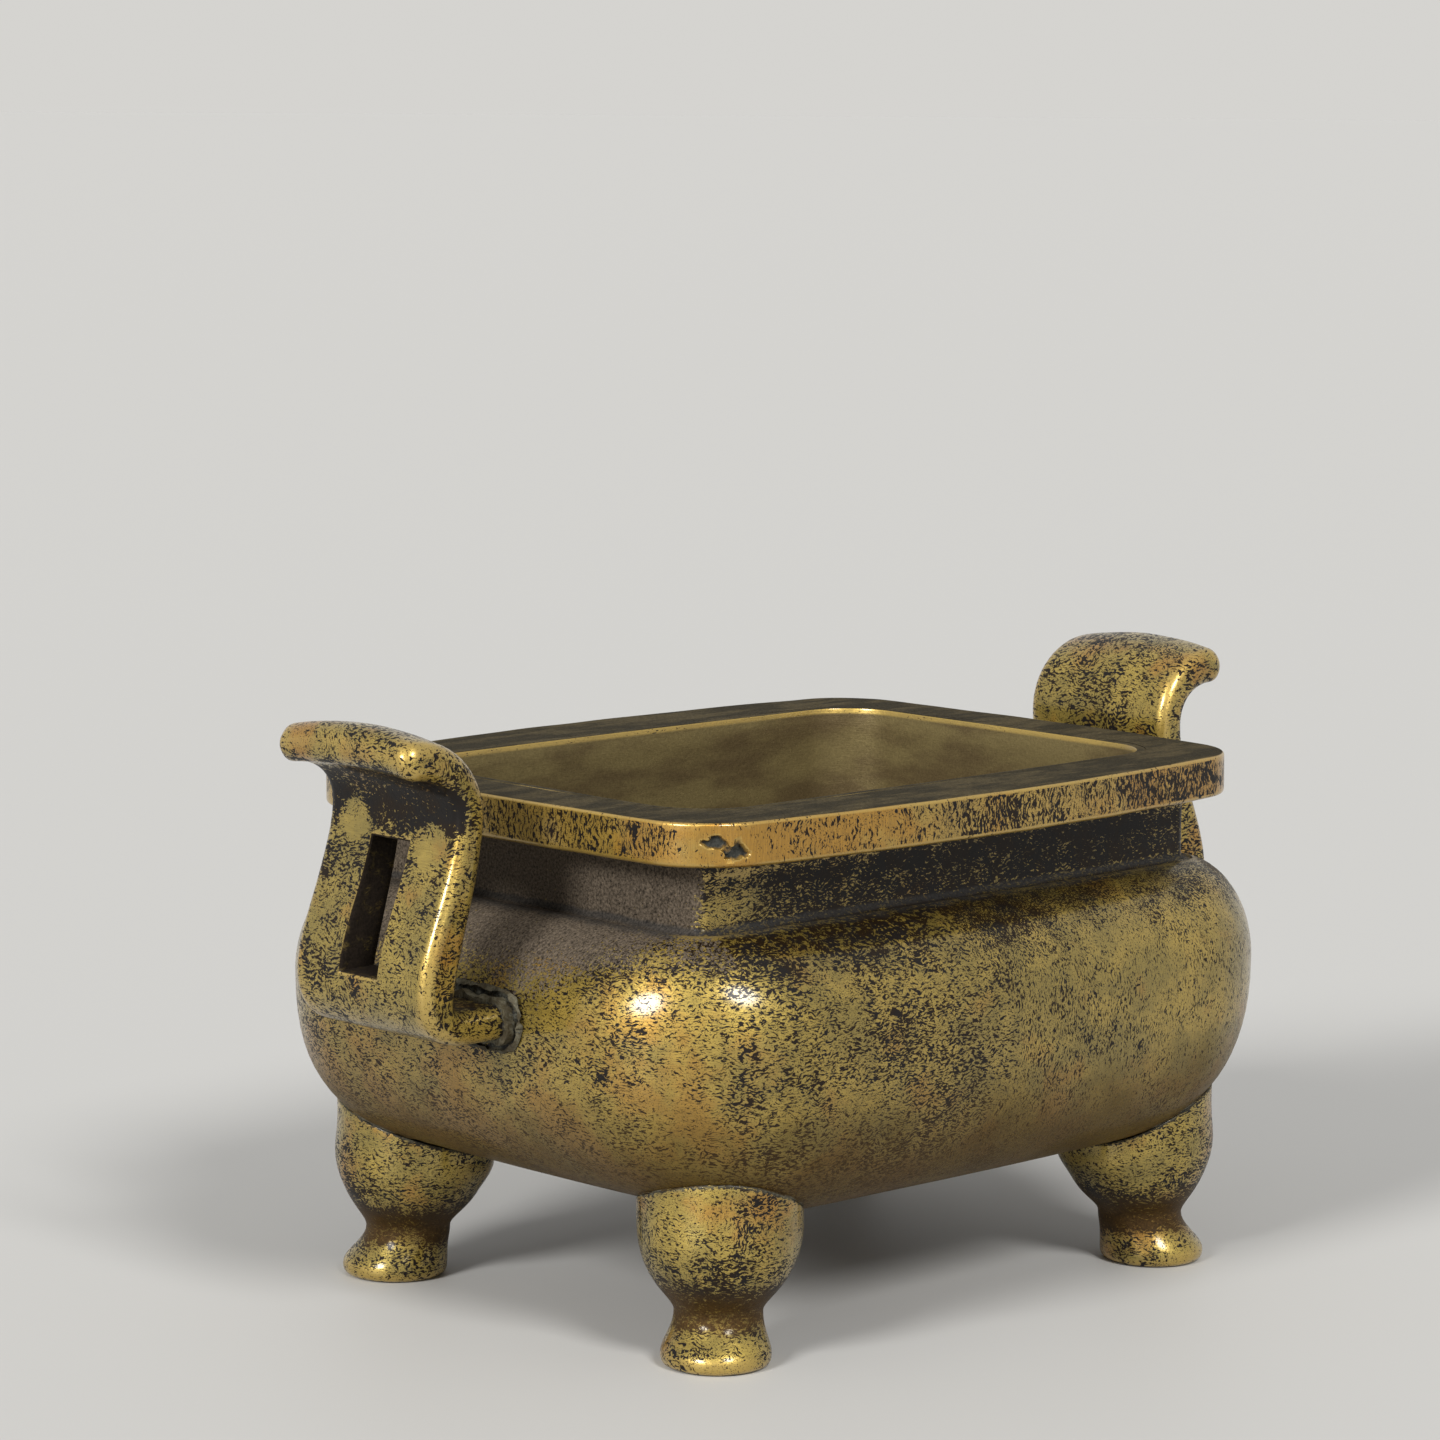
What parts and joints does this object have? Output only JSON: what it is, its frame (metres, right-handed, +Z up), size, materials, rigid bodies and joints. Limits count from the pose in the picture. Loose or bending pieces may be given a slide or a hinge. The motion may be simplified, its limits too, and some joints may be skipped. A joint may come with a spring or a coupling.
{
  "type": "square incense burner",
  "caption": "Rectangular brass incense burner: bellied basin with flat rim, upright scrolled ears and goblet-shaped feet.",
  "frame": {"origin": "on the ground below the middle of the basin", "axes": "+Z up, +X along the length towards the right ear, +Y towards the back long side"},
  "size_m": [0.1706, 0.1056, 0.0908],
  "materials": {
    "patina_brass": "olive-yellow patina with dense dark brushed flecks",
    "rim_brass": "warm worn brass with dark flecks, dull grey-olive top",
    "ear_brass": "polished yellow brass with dark flecks and worn edges",
    "foot_brass": "polished yellow brass with dark flecks",
    "solder": "dull grey-green brazing metal"
  },
  "bodies": {
    "root": {"basin": "patina_brass", "rim_plate": "rim_brass", "foot_front_left": "foot_brass", "foot_front_right": "foot_brass", "foot_back_right": "foot_brass", "foot_back_left": "foot_brass", "ear_right": "ear_brass", "ear_solder_right": "solder", "ear_left": "ear_brass", "ear_solder_left": "solder"}
  },
  "joints": []
}
